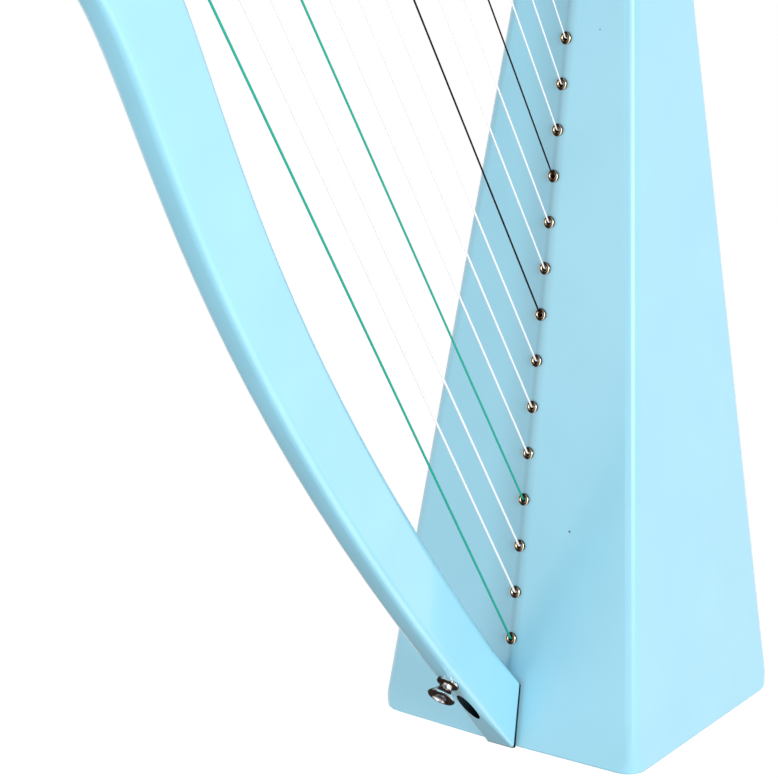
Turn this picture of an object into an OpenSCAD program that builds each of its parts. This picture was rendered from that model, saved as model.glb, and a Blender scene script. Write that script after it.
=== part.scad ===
// Small lap harp with fifteen strings, a tapered soundbox, a curved pillar and a curved neck.
// Origin: centre of the soundbox's underside. X runs from the pillar to the back, Z is up,
// and Y = 0 is the plane of the eyelets. The player sits on the +X side.

/* [Soundbox] */
// Width of the box at its base
base_w = 128; // [118:1:140]
// Depth of the box at its base, front to back
base_d = 119.5; // [112:0.5:130]
// Height of the box without the neck
box_h = 378; // [370:1:388]
// Lean of the soundboard, degrees from upright
board_lean = 7.84; // [7:0.1:8.6]
// Lean of the back towards the soundboard, degrees from upright
back_lean = 4.62; // [4:0.1:5.4]
// Narrowing of each side for each millimetre of height
side_taper = 0.112; // [0.1:0.002:0.12]
// Rise of the soundboard's centre ridge at the base
ridge_h = 1.6; // [0.8:0.1:2.4]
// Radius of the box's four long edges
edge_r = 5; // [3:0.5:7]
// Radius of the edge round the bottom
bottom_r = 1.2; // [0.8:0.1:2]
// Extra radius of the long edges where they meet the bottom
foot_extra = 4; // [2:0.5:6]
// Height over which the long edges grow to it
foot_rise = 9; // [6:0.5:12]
// Radius of the edge round the top
top_r = 2.5; // [1:0.5:4]
// Thickness of the soundboard
board_t = 3.5; // [2.5:0.25:5]
// Thickness of the side panels
side_t = 8.5; // [6:0.5:9]
// Thickness of the back panel
back_t = 8; // [6:0.5:9]
// Thickness of the bottom panel
bottom_t = 22; // [18:0.5:23]
// Thickness of the top cap
top_t = 8; // [6:1:12]

/* [Inside the box] */
// Height of the bottom block
block_h = 27; // [22:0.5:30]
// Height of the top block
top_block_h = 42; // [32:1:46]
// Width of the string rib
rib_w = 16; // [12:1:22]
// Thickness of the string rib
rib_t = 5; // [4:0.5:7]
// Leg of the three-sided linings in the long corners
lining_w = 9; // [7:0.5:12]
// Height of a back brace, along the back
brace_w = 10; // [8:1:14]
// Thickness of a back brace, away from the back
brace_t = 7; // [5:1:10]

/* [Sound holes] */
// Height of the lowest hole's centre
hole_z = 88; // [86:1:92]
// Step from one hole to the next
hole_step = 96; // [92:1:98]
// Width of the lowest hole
hole_w = 54; // [48:1:56]
// How much narrower each next hole is
hole_shrink = 13; // [10:1:16]
// Straight part between the round ends of a hole
hole_straight = 22; // [12:1:26]

/* [Strings] */
// Distance up the soundboard to the lowest eyelet
eye_first = 46.3; // [44:0.1:50]
// Height of the box's top above the highest eyelet
eye_drop = 64.6; // [62:0.1:70]
// How much each distance between eyelets is shorter than the one below
eye_shrink = 0.13; // [0.1:0.01:0.16]
// Sounding length of the longest string
len_low = 425; // [415:1:432]
// Sounding length of the shortest string
len_high = 140; // [134:1:146]
// Lean of the longest string, degrees from upright
lean_low = 34.6; // [34:0.1:35.2]
// Lean of the shortest string, degrees from upright
lean_high = 36; // [35.4:0.1:36.6]
// Extra lean of the strings halfway between them, in degrees
lean_bow = 0.35; // [0:0.05:0.6]
// Diameter of the longest string
string_d_low = 1.1; // [0.9:0.05:1.2]
// Diameter of the shortest string
string_d_high = 0.65; // [0.55:0.05:0.8]
// Outer diameter of an eyelet's rim
eye_rim_d = 5.6; // [5:0.1:6.4]
// Bore of an eyelet
eye_bore_d = 2.2; // [2:0.1:2.6]
// Diameter of the knot on a string's inner end
knot_d = 4.4; // [3.8:0.1:5]

/* [Neck] */
// Thickness of the neck
neck_t = 15; // [14:0.5:18]
// Radius of the neck's edges
neck_r = 4; // [3:0.5:5]
// Wood left below the bridge pins, along the strings
neck_low = 9.5; // [9:0.5:11]
// Wood left above the tuning pins, along the strings
neck_up = 9.5; // [9:0.5:11]
// Setback of the neck's foot from the box's top edges
neck_setback = 3; // [2.5:0.5:4]
// Length of the screws that hold the neck
neck_screw_l = 58; // [54:1:62]
// Distance between the screws that hold the neck
neck_screw_gap = 15; // [14:0.5:17]
// Length of the dowels between neck and pillar
dowel_l = 32; // [26:1:36]

/* [Pillar] */
// Thickness of the pillar
pillar_t = 14; // [12:0.5:16]
// Radius of the pillar's edges
pillar_r = 4; // [3:0.5:5]
// Width of the pillar at its foot
pillar_foot_w = 24; // [22:0.5:26]
// Width of the pillar at its head
pillar_head_w = 34.6; // [32:0.2:37]
// Extra width halfway up
pillar_swell = 2.6; // [1.6:0.2:3.6]
// Width lost on the inner edge where it comes down to the soundboard
foot_nip = 2.1; // [1.2:0.1:2.6]
// Lean of the pillar's centre line at its foot, degrees from upright
pillar_foot_lean = 43.3; // [42.5:0.1:44]
// Lean of the pillar's centre line at its head, degrees from upright
pillar_head_lean = 38.4; // [37:0.2:40]
// How far the foot's direction is held
pillar_foot_hold = 301; // [296:1:306]
// How far the head's direction is held
pillar_head_hold = 65.5; // [60:0.5:70]
// Height of the lowest bridge pin above the level joint between pillar and neck
joint_drop = 36.6; // [34:0.1:39]

/* [Tuning pins] */
// Diameter of a tuning pin
pin_d = 4.8; // [4.6:0.1:5.2]
// Side of a tuning pin's square end
pin_square = 3.7; // [3.5:0.1:4]
// Length of the square end
pin_square_l = 10; // [9:0.5:14]
// Length that a tuning pin stands out on the string side
pin_out = 12.5; // [12:0.5:14]
// Length of string between bridge pin and tuning pin
tail_l = 27; // [25:0.5:29]
// Bend of a string at its bridge pin, degrees
bridge_bend = 10; // [8:0.5:12]
// Diameter of a bridge pin in its groove
bridge_d = 2.6; // [2.2:0.1:3]
// Turns of a winding
wind_turns = 2.5; // [2:0.25:2.75]
// Gap between neighbouring turns
wind_gap = 0.5; // [0.45:0.05:0.6]

/* [Strap buttons] */
// Diameter of a strap button's head
button_d = 12; // [10:0.5:14]
// Height of a strap button
button_h = 7.4; // [6.6:0.2:9]
// Height of the front strap button above the base
button_z = 42.5; // [40:0.5:46]
// Height of the box's top above the rear strap button
rear_button_drop = 32; // [26:1:38]
// Diameter of the slanted screw pocket in the pillar's foot
pocket_d = 6.2; // [5.6:0.1:6.8]
// Height of the pocket's mouth above the base
pocket_z = 26.3; // [25:0.1:28]
// Slope of the pocket, degrees below level
pocket_slope = 30; // [28:0.5:32]

/* [Hidden] */
strings = 15;
last = strings - 1;
function numbered(name, i) = str(name, i < 9 ? "0" : "", i + 1);
$fn = 48;

// Clearances: glued joints, joints that show as a hairline, fits of pins and screws in wood
glue = 0.1;
hairline = 0.15;
pin_fit = 0.04;
screw_fit = 0.05;
rest_gap = 0.3;
wrap_gap = 0.05;
cut = 1;
far = 400;

// Strings
green_strings = [0, 3, 14];
red_strings = [7, 10];
rim_r = (eye_rim_d - eye_bore_d) / 4;
rim_sink = 0.45;
rim_h = rim_r - rim_sink + rim_r;
bend_sink = 0.5;
string_out = 3.5;
string_y = neck_t / 2 + string_out;
tube_sides = 8;
coil_sides = 6;
coil_rings = 18;

// Shape of the box: front and back faces, half width and ridge at a height
function board_x(z) = -base_d / 2 + z * tan(board_lean);
function back_x(z) = base_d / 2 - z * tan(back_lean);
function half_w(z) = base_w / 2 - z * side_taper;
function ridge(z) = ridge_h * half_w(z) / half_w(0);
function ridge_x(z) = board_x(z) - ridge(z);
board_up = [sin(board_lean), cos(board_lean)];
board_out = [-cos(board_lean), sin(board_lean)];
wall_top = box_h - top_t;
top_centre = (board_x(box_h) + back_x(box_h)) / 2;

// Directions in the X-Z plane for an angle from upright, leaning towards the pillar
function along(a) = [-sin(a), cos(a)];
function left_of(a) = [-cos(a), -sin(a)];
function place(p, y) = [p[0], y, p[1]];
function mix(a, b, t) = a + (b - a) * t;

// Strings, counted from 0 at the longest
function string_r(i) = mix(string_d_low, string_d_high, i / last) / 2;
function lean(i) = let (u = i / last) mix(lean_low, lean_high, u) + 4 * lean_bow * u * (1 - u);
function length(i) = len_low * pow(len_high / len_low, i / last);
eye_top = (box_h - eye_drop) / cos(board_lean);
eye_pitch = (eye_top - eye_first + last * last * eye_shrink / 2) / last;
function eye_s(i) = eye_first + i * eye_pitch - i * i * eye_shrink / 2;
function eye_base(i) = let (z = eye_s(i) * board_up[1]) [ridge_x(z), z];
function eye(i) = eye_base(i) + board_out * (rim_h - bend_sink);
function run(i) = sqrt(length(i) * length(i) - string_y * string_y);
function touch(i) = eye(i) + along(lean(i)) * run(i);
function bridge_reach(i) = bridge_d / 2 + wrap_gap + string_r(i);
function bridge(i) = touch(i) + left_of(lean(i)) * bridge_reach(i);
function tail_lean(i) = lean(i) + bridge_bend;
function leave(i) = bridge(i) - left_of(tail_lean(i)) * bridge_reach(i);
function arrive(i) = leave(i) + along(tail_lean(i)) * tail_l;
function pin_at(i) = arrive(i) + left_of(tail_lean(i)) * (pin_d / 2 + rest_gap + string_r(i));

// Pillar: a cubic curve for the centre line, with a width that swells halfway
heel_z = 8;
heel_in = 4.7;
head_side = -3.7;
head_drop = 28;
pillar_foot = [board_x(heel_z) + heel_in, heel_z];
pillar_head = bridge(0) + [head_side, -head_drop];
joint_z = bridge(0)[1] - joint_drop;
pillar_c1 = pillar_foot + along(pillar_foot_lean) * pillar_foot_hold;
pillar_c2 = pillar_head - along(pillar_head_lean) * pillar_head_hold;
function curve(a, b, c, d, t) =
    pow(1 - t, 3) * a + 3 * pow(1 - t, 2) * t * b + 3 * (1 - t) * t * t * c + pow(t, 3) * d;
function slope(a, b, c, d, t) =
    pow(1 - t, 2) * (b - a) + 2 * (1 - t) * t * (c - b) + t * t * (d - c);
function pillar_mid(t) = curve(pillar_foot, pillar_c1, pillar_c2, pillar_head, t);
function pillar_dir(t) =
    let (v = slope(pillar_foot, pillar_c1, pillar_c2, pillar_head, t)) v / norm(v);
function pillar_w(t) = mix(pillar_foot_w, pillar_head_w, t) + 4 * pillar_swell * t * (1 - t);
// side 1 is the outer edge, side -1 the edge that faces the strings
nip_fade = 12;
function pillar_half(t, side) = pillar_w(t) / 2 - (side < 0 ? foot_nip * pow(1 - t, nip_fade) : 0);
function pillar_edge(t, side) =
    let (d = pillar_dir(t)) pillar_mid(t) + [-d[1], d[0]] * side * pillar_half(t, side);
// Value between lo and hi where f passes through zero, found by halving
function solve(f, lo, hi, n = 30) =
    let (m = (lo + hi) / 2) n == 0 ? m : f(m) > 0 ? solve(f, lo, m, n - 1) : solve(f, m, hi, n - 1);
t_out_foot = solve(function (t) pillar_edge(t, 1)[1], -0.1, 0.2);
t_in_foot = solve(function (t)
    let (p = pillar_edge(t, -1)) ridge_x(p[1]) - hairline - p[0], -0.05, 0.3);
head_lo = 0.7;
head_hi = 1.1;
t_out_head = solve(function (t) pillar_edge(t, 1)[1] - joint_z, head_lo, head_hi);
t_in_head = solve(function (t) pillar_edge(t, -1)[1] - joint_z, head_lo, head_hi);
pillar_steps = 24;
// Where the outer edge is at a height, and how it leans there
function out_edge_t(z) = solve(function (t) pillar_edge(t, 1)[1] - z, -0.1, 1);

// Outlines of planks run anticlockwise as seen from the string side, as [x, z, edge radius]
small_r = 0.9;
foot_r = 0.45;
toe_r = 1.2;
pillar_outline = concat(
    [concat([ridge_x(0) - hairline, 0], foot_r)],
    [for (k = [0 : pillar_steps])
        concat(pillar_edge(mix(t_in_foot, t_in_head, k / pillar_steps), -1),
            k == 0 || k == pillar_steps ? small_r : pillar_r)],
    [for (k = [pillar_steps : -1 : 0])
        concat(pillar_edge(mix(t_out_foot, t_out_head, k / pillar_steps), 1),
            k == 0 ? toe_r : k == pillar_steps ? small_r : pillar_r)]);

// A smooth curve through points, each span split into n
function through(p, n) = [for (i = [0 : len(p) - 2]) for (k = [0 : n - 1])
    let (a = p[max(i - 1, 0)], b = p[i], c = p[i + 1], d = p[min(i + 2, len(p) - 1)], t = k / n)
    (2 * b + (c - a) * t + (2 * a - 5 * b + 4 * c - d) * t * t
        + (3 * b - a - 3 * c + d) * t * t * t) / 2];
joint_in = pillar_edge(t_in_head, -1);
joint_out = pillar_edge(t_out_head, 1);
neck_front = [board_x(box_h) + neck_setback, box_h];
neck_back = [back_x(box_h) - neck_setback, box_h];
function low_edge(i) = bridge(i) - along(lean(i)) * neck_low;
function up_edge(i) = pin_at(i) + along(tail_lean(i)) * neck_up;
// Offsets of hand-placed points from the piece that each follows
throat = [[-6, 9], [-7, 17], [0, 21.5]];
shoulder_under = [[-70, 33.5], [-44, 25], [-21, 13]];
shoulder_back = [[1, 19], [-8, 42], [-27, 63], [-56, 79], [-90, 88], [-123, 88]];
head_inner = [[8, 10], [-3, 18], [-10, 27], [-13, 36]];
head_outer = [[-18, 41], [-25, 38], [-29, 28], [-30, 14], [-28, -3], [-21, -21], [-11, -39]];
neck_steps = 3;
neck_lower = through(concat([joint_in], [for (p = throat) joint_in + p],
    [for (i = [2 : 2 : last]) low_edge(i)], [for (p = shoulder_under) neck_front + p],
    [neck_front]), neck_steps);
neck_upper = through(concat([neck_back], [for (p = shoulder_back) neck_back + p],
    [for (i = [last : -2 : 2]) up_edge(i)], [for (p = head_inner) pin_at(0) + p],
    [for (p = head_outer) pin_at(0) + p], [joint_out]), neck_steps);
// The rounding of the neck's edges starts small at its four corners and grows away from them
neck_corners = [joint_in, neck_front, neck_back, joint_out];
function edge_r_at(p) =
    min(neck_r, small_r + 0.3 * min([for (c = neck_corners) norm(c - p)]));
neck_outline = [for (p = concat(neck_lower, [neck_front], neck_upper, [joint_out]))
    concat(p, edge_r_at(p))];

// A closed body through rings of points that run anticlockwise, seen from the last ring
module loft(rings) {
    n = len(rings[0]);
    m = len(rings);
    sides = [for (k = [0 : m - 2]) for (i = [0 : n - 1])
        let (j = (i + 1) % n, a = k * n + i, b = k * n + j, c = a + n, d = b + n)
        each [[a, c, d], [a, d, b]]];
    first_cap = [for (i = [0 : n - 1]) i];
    last_cap = [for (i = [n - 1 : -1 : 0]) (m - 1) * n + i];
    polyhedron([for (r = rings) each r], concat([first_cap], sides, [last_cap]), convexity = 10);
}

// Slab of a plank's thickness, and the body that trims it to an outline of [x, z, edge radius]
module slab(t) {
    translate([-far, -t / 2, -cut]) cube([2 * far, t, 2 * far]);
}
module trimmed(outline, t) {
    n = len(outline);
    inward = [for (i = [0 : n - 1])
        let (a = outline[(i + n - 1) % n], b = outline[(i + 1) % n], v = [b[0] - a[0], b[1] - a[1]])
        [-v[1], v[0]] / norm(v)];
    steps = 3;
    // Share of the edge radius by which each ring is drawn in and lowered; the last rises past the face
    round_in = [for (k = [0 : steps - 1]) [1 - cos(k * 90 / steps), 1 - sin(k * 90 / steps)]];
    past = [1, 0] + ([1, 0] - round_in[steps - 1]) / 10;
    levels = concat([[past, 1]], [for (k = [steps - 1 : -1 : 0]) [round_in[k], 1]],
        [for (r = round_in) [r, -1]], [[past, -1]]);
    intersection() {
        children();
        loft([for (l = levels) [for (i = [0 : n - 1])
            let (p = outline[i], in = p[2] * l[0][0], y = t / 2 - p[2] * l[0][1])
            [p[0] + inward[i][0] * in, l[1] * y, p[1] + inward[i][1] * in]]]);
    }
}

// A tube along points with a radius for each, for paths that never run along Y
module tube(path, radii, sides) {
    n = len(path);
    loft([for (i = [0 : n - 1])
        let (v = path[min(i + 1, n - 1)] - path[max(i - 1, 0)], d = v / norm(v),
            e = cross([0, 1, 0], d), e1 = e / norm(e), e2 = cross(d, e1))
        [for (k = [0 : sides - 1])
            path[i] + radii[i] * (e1 * cos(k * 360 / sides) + e2 * sin(k * 360 / sides))]]);
}

// One level ring of the box's outside, drawn in by inset
corner_steps = 5;
function corner(cx, cy, r, a0) = [for (k = [0 : corner_steps])
    [cx + r * cos(a0 + k * 90 / corner_steps), cy + r * sin(a0 + k * 90 / corner_steps)]];
function long_edge_r(z) = edge_r + foot_extra * pow(max(0, 1 - z / foot_rise), 2);
function box_ring(z, inset) =
    let (x0 = board_x(z) + inset, x1 = back_x(z) - inset, w = half_w(z) - inset,
        r = max(long_edge_r(z) - inset / 2, 1))
    [for (p = concat(corner(x1 - r, w - r, r, 0), corner(x0 + r, w - r, r, 90),
        [[x0 - ridge(z), 0]], corner(x0 + r, r - w, r, 180), corner(x1 - r, r - w, r, 270)))
        [p[0], p[1], z]];
module box_outside() {
    steps = 4;
    loft(concat(
        [for (k = [0 : steps]) let (a = k / steps * 90)
            box_ring(bottom_r * (1 - cos(a)), bottom_r * (1 - sin(a)))],
        [for (k = [1 : steps]) box_ring(mix(bottom_r, foot_rise, k / steps), 0)],
        [for (k = [0 : steps]) let (a = k / steps * 90)
            box_ring(box_h - top_r * (1 - sin(a)), top_r * (1 - cos(a)))]));
}

// Slabs used as cutters: an X-Z outline swept across the box, a Y-Z outline swept along it
module across(points) {
    rotate([90, 0, 0]) linear_extrude(height = 2 * far, center = true) polygon(points);
}
module lengthwise(points) {
    rotate([90, 0, 90]) linear_extrude(height = 2 * far, center = true) polygon(points);
}
// Space between the front face moved in by a and the back face moved in by b
module between_faces(a, b, z0, z1) {
    across([[board_x(z0) + a, z0], [back_x(z0) - b, z0], [back_x(z1) - b, z1], [board_x(z1) + a, z1]]);
}
// Space between the side faces, moved in by a
module between_sides(a, z0, z1) {
    lengthwise([[a - half_w(z0), z0], [half_w(z0) - a, z0], [half_w(z1) - a, z1], [a - half_w(z1), z1]]);
}

// Local axes for round pieces: along the string side, out of the board, and any lean in X-Z
module at_neck(p) {
    translate([p[0], 0, p[1]]) rotate([90, 0, 0]) children();
}
module facing(p, v) {
    translate([p[0], 0, p[1]]) rotate([0, atan2(v[0], v[1]), 0]) children();
}
module box_slice(z0, z1) {
    intersection() {
        box_outside();
        translate([-far, -far, z0]) cube([2 * far, 2 * far, z1 - z0]);
    }
}

// Soundbox
paint = "#aee6f8";
pale_wood = "#d9b98a";
block_wood = "#b98c5a";
barrel_r = eye_bore_d / 2 + 0.7;
// Everything in front of a plane that lies a behind the board's face
module front_slab(a) {
    across([[-far, -cut], [board_x(-cut) + a, -cut], [board_x(far) + a, far], [-far, far]]);
}
// Everything behind a plane that lies b in front of the back's face
module back_slab(b) {
    across([[back_x(-cut) - b, -cut], [far, -cut], [far, far], [back_x(far) - b, far]]);
}
module bottom_panel() {
    color(paint) difference() {
        box_slice(-cut, bottom_t);
        pillar_screw_bore();
    }
}
module top_cap() {
    color(paint) difference() {
        box_slice(wall_top, box_h + cut);
        neck_screw_bores(neck_screw_d / 2 + screw_fit);
    }
}
module soundboard() {
    color(paint) difference() {
        intersection() {
            box_slice(bottom_t, wall_top);
            front_slab(board_t);
        }
        eyelet_bores();
    }
}
module back_panel() {
    color(paint) difference() {
        intersection() {
            box_slice(bottom_t, wall_top);
            back_slab(back_t);
        }
        for (k = [0 : holes - 1]) sound_hole(k);
        rear_screw_bore();
    }
}
module side_panel(side) {
    color(paint) intersection() {
        box_slice(bottom_t, wall_top);
        between_faces(board_t, back_t, bottom_t, wall_top);
        lengthwise([for (p = [[half_w(bottom_t) - side_t, bottom_t], [far, bottom_t],
            [far, wall_top], [half_w(wall_top) - side_t, wall_top]]) [side * p[0], p[1]]]);
    }
}
// The eyelets' holes run along the board's normal, through board and rib
module eyelet_bores() {
    bore_l = 2 * (board_t + ridge_h + rib_t);
    for (i = [0 : last]) facing(eye_base(i), board_out)
        translate([0, 0, -bore_l]) cylinder(r = barrel_r + glue, h = bore_l + cut);
}
// A sound hole is two round ends joined by a straight part, cut along the back's normal
holes = 3;
back_out = [cos(back_lean), sin(back_lean)];
function hole_centre(k) = let (z = hole_z + k * hole_step) [back_x(z), z];
module sound_hole(k) {
    r = (hole_w - k * hole_shrink) / 2;
    depth = 4 * back_t;
    facing(hole_centre(k), back_out) {
        for (e = [-1, 1]) translate([e * hole_straight / 2, 0, -depth / 2]) cylinder(r = r, h = depth);
        translate([-hole_straight / 2, -r, -depth / 2]) cube([hole_straight, 2 * r, depth]);
    }
}
// Blocks and strips fill the inside of the walls, less a glue line
module inside(z0, z1) {
    intersection() {
        between_faces(board_t + glue, back_t + glue, z0, z1);
        between_sides(side_t + glue, z0, z1);
    }
}
// A notch in the bottom block takes the rib's end and the first string's knot
notch_below = 5;
notch_deep = 17;
notch_s = eye_s(0) - notch_below;
module notch() {
    w = rib_w + 2 * rest_gap;
    translate([board_x(0), 0, 0]) rotate([0, board_lean, 0])
        translate([0, -w / 2, notch_s]) cube([notch_deep, w, block_h]);
}
module bottom_block() {
    color(block_wood) difference() {
        inside(bottom_t, bottom_t + block_h);
        notch();
    }
}
block_z = wall_top - top_block_h;
module top_block() {
    color(block_wood) difference() {
        inside(block_z, wall_top);
        neck_screw_bores(neck_screw_d / 2 + screw_fit);
        neck_screw_heads(screw_head_r + rest_gap, cut);
        rear_screw_bore();
    }
}
rib_end = 8;
module string_rib() {
    s1 = (block_z - rib_end) / board_up[1];
    color(pale_wood) difference() {
        translate([board_x(0), 0, 0]) rotate([0, board_lean, 0])
            translate([(board_t + glue) * board_up[1], -rib_w / 2, notch_s + glue])
                cube([rib_t, rib_w, s1 - notch_s - glue]);
        eyelet_bores();
    }
}
// Three-sided strips in the long corners; f gives the corner's X, dir points into the box
module lining(f, dir, z0, z1) {
    loft([for (z = [z0, z1])
        let (x = f(z) + dir * glue, y = half_w(z) - side_t - glue,
            a = [x, y - lining_w, z], b = [x + dir * lining_w, y, z], c = [x, y, z])
        dir > 0 ? [a, b, c] : [b, a, c]]);
}
module linings(f, dir, z0) {
    color(pale_wood) for (m = [0, 1]) mirror([0, m, 0]) lining(f, dir, z0, block_z - glue);
}
module board_linings() {
    linings(function (z) board_x(z) + board_t, 1, bottom_t + block_h + glue);
}
module back_linings() {
    linings(function (z) back_x(z) - back_t, -1, bottom_t + block_h + glue);
}
module back_braces() {
    for (k = [0 : holes - 2]) {
        p = (hole_centre(k) + hole_centre(k + 1)) / 2;
        w = half_w(p[1] + brace_w / 2) - side_t - lining_w - 2 * glue;
        color(pale_wood) facing(p, back_out)
            translate([-brace_w / 2, -w, -back_t - glue - brace_t]) cube([brace_w, 2 * w, brace_t]);
    }
}

// Pillar, with the slanted pocket of its screw
screw_r = 1.75;
screw_head_r = 3.4;
pocket_depth = 20;
pillar_screw_l = 26;
pocket_dir = [cos(pocket_slope), -sin(pocket_slope)];
pocket_mouth = pillar_edge(out_edge_t(pocket_z), 1);
pocket_seat = pocket_mouth + pocket_dir * pocket_depth;
button_t = out_edge_t(button_z);
button_foot = pillar_edge(button_t, 1);
button_out = let (d = pillar_dir(button_t)) [-d[1], d[0]];
button_screw_l = 16;
rear_screw_l = 11;
button_seat = 4.6;
module pillar_screw_bore() {
    facing(pocket_seat, pocket_dir) translate([0, 0, -cut])
        cylinder(r = screw_r + screw_fit, h = pillar_screw_l + 2 * cut);
}
module pillar() {
    color(paint) difference() {
        trimmed(pillar_outline, pillar_t) slab(pillar_t);
        facing(pocket_seat, -pocket_dir) cylinder(r = pocket_d / 2, h = 2 * pocket_depth);
        pillar_screw_bore();
        facing(button_foot, -button_out) translate([0, 0, -cut])
            cylinder(r = screw_r + screw_fit, h = button_screw_l + cut);
        dowel_bores();
    }
}
// A shank along local +Z that ends in a blunt point
tip_l = 4;
tip_r = 0.4;
module shank(r, l) {
    cylinder(r = r, h = l - tip_l);
    translate([0, 0, l - tip_l]) cylinder(r1 = r, r2 = tip_r, h = tip_l);
}
// Cross for the screwdriver in a head that stands from -h to 0
cross_w = 0.8;
cross_depth = 1.3;
module cross_slots(r, h) {
    for (a = [0, 90]) rotate([0, 0, a])
        translate([-r, -cross_w / 2, -h - cut]) cube([2 * r, cross_w, cut + cross_depth]);
}
// A pan-head screw: its head stands on the seat, its shank runs along local +Z
pan_h = 2.4;
pan_taper = 0.6;
cross_share = 0.6;
module pan_screw(head_r, l) {
    difference() {
        union() {
            translate([0, 0, -pan_h]) cylinder(r1 = head_r - pan_taper, r2 = head_r, h = pan_h);
            shank(screw_r, l);
        }
        cross_slots(head_r * cross_share, pan_h);
    }
}
module pillar_screw() {
    color("silver") facing(pocket_seat, pocket_dir) pan_screw(pocket_d / 2 - rest_gap, pillar_screw_l);
}
dowel_r = 3;
dowel_places = [0.31, 0.7];
module dowels(r, l) {
    for (e = dowel_places) facing(mix(joint_in, joint_out, e), along(pillar_head_lean))
        translate([0, 0, -l / 2]) cylinder(r = r, h = l);
}
module dowel_bores() {
    dowels(dowel_r + screw_fit, dowel_l + cut);
}
module head_dowels() {
    color(pale_wood) dowels(dowel_r, dowel_l);
}

// Neck, drilled right through for the tuning pins and part way for the bridge pins
neck_screw_d = 4;
neck_head_h = 3;
neck_screw_shift = 3;
bridge_depth = 9;
bridge_shank_r = bridge_d / 2 + 0.2;
module at_neck_screws() {
    x = top_centre - neck_screw_shift;
    for (e = [-1, 1]) translate([x + e * neck_screw_gap / 2, 0, block_z + neck_head_h]) children();
}
module neck_screw_bores(r) {
    at_neck_screws() translate([0, 0, -cut]) cylinder(r = r, h = neck_screw_l + 2 * cut);
}
module neck_screw_heads(r, extra) {
    at_neck_screws() translate([0, 0, -neck_head_h - extra]) cylinder(r = r, h = neck_head_h + extra);
}
module drilled_slab() {
    difference() {
        slab(neck_t);
        for (i = [0 : last]) {
            at_neck(pin_at(i)) translate([0, 0, -neck_t])
                cylinder(r = pin_d / 2 + pin_fit, h = 2 * neck_t);
            at_neck(bridge(i)) translate([0, 0, neck_t / 2 - bridge_depth])
                cylinder(r = bridge_shank_r + screw_fit, h = neck_t);
        }
    }
}
module neck() {
    color(paint) difference() {
        trimmed(neck_outline, neck_t) drilled_slab();
        neck_screw_bores(neck_screw_d / 2 + screw_fit);
        dowel_bores();
    }
}
module neck_screws() {
    color("silver") difference() {
        union() {
            neck_screw_heads(screw_head_r, 0);
            at_neck_screws() shank(neck_screw_d / 2, neck_screw_l);
        }
        at_neck_screws() cross_slots(screw_head_r * cross_share, neck_head_h);
    }
}

// Eyelets: a rolled rim on the board's face and a barrel through board and rib
module eyelets() {
    barrel_l = board_t + ridge_h;
    color("#c8a24a") for (i = [0 : last]) facing(eye_base(i), board_out) rotate_extrude() {
        intersection() {
            translate([eye_bore_d / 2 + rim_r, rim_r - rim_sink]) circle(r = rim_r);
            square([eye_rim_d, eye_rim_d]);
        }
        translate([eye_bore_d / 2, -barrel_l])
            square([barrel_r - eye_bore_d / 2, barrel_l + rim_r - rim_sink]);
    }
}
// Bridge pins: shank in the neck, collar on its face, groove for the string and a head
collar_step = 0.5;
bridge_collar_r = bridge_shank_r + collar_step;
groove_half = 0.8;
groove_lip = 1.4;
bridge_head = 2.6;
bridge_chamfer = 0.5;
module bridge_pins() {
    face = neck_t / 2;
    foot = face - bridge_depth + rest_gap;
    top = string_y + bridge_head;
    color("#c8a24a") for (i = [0 : last]) at_neck(bridge(i)) rotate_extrude() polygon([
        [0, foot], [bridge_shank_r, foot], [bridge_shank_r, face], [bridge_collar_r, face],
        [bridge_collar_r, string_y - groove_lip], [bridge_d / 2, string_y - groove_half],
        [bridge_d / 2, string_y + groove_half], [bridge_collar_r, string_y + groove_lip],
        [bridge_collar_r, top - bridge_chamfer], [bridge_collar_r - bridge_chamfer, top], [0, top]]);
}

// Strings: tail and knot behind the rib, through the eyelet, round the bridge pin to the tuning pin
tail_end = 2;
bend_in = 0.8;
function knot_depth(i) = ridge_h + board_t + glue + rib_t + knot_d / 2 + hairline;
function in_board(i, d) = place(eye_base(i) - board_out * d, 0);
function toward(i, d) = let (v = place(touch(i), -string_y) - place(eye(i), 0))
    place(eye(i), 0) + v / norm(v) * d;
function at_bridge(i, a) = place(bridge(i) - left_of(a) * bridge_reach(i), -string_y);
knot_steps = [-0.92, -0.5, 0, 0.5, 0.92];
module string(i) {
    r = string_r(i);
    kd = knot_depth(i);
    kr = knot_d / 2;
    path = concat([in_board(i, kd + kr + tail_end), in_board(i, kd + kr)],
        [for (s = knot_steps) in_board(i, kd - s * kr)],
        [in_board(i, kd - kr), in_board(i, bend_in - (rim_h - bend_sink)), toward(i, bend_in)],
        [at_bridge(i, lean(i)), at_bridge(i, lean(i) + bridge_bend / 2), at_bridge(i, tail_lean(i)),
            place(arrive(i), -string_y)]);
    radii = concat([r, r], [for (s = knot_steps) kr * sqrt(1 - s * s)], [for (k = [0 : 6]) r]);
    tube(path, radii, tube_sides);
}
function has(list, i) = len([for (k = list) if (k == i) k]) > 0;
module strings_clear() {
    color("#eef2f4") for (i = [0 : last]) if (!has(green_strings, i) && !has(red_strings, i)) string(i);
}
module strings_green() {
    color("#1f9e78") for (i = green_strings) string(i);
}
module strings_red() {
    color("#5a1620") for (i = red_strings) string(i);
}

// Windings: helical turns from where the string arrives, then a dip into the pin's cross hole
hole_climb = 1;
hole_turn = 25;
cross_hole_r = 1.1;
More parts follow.
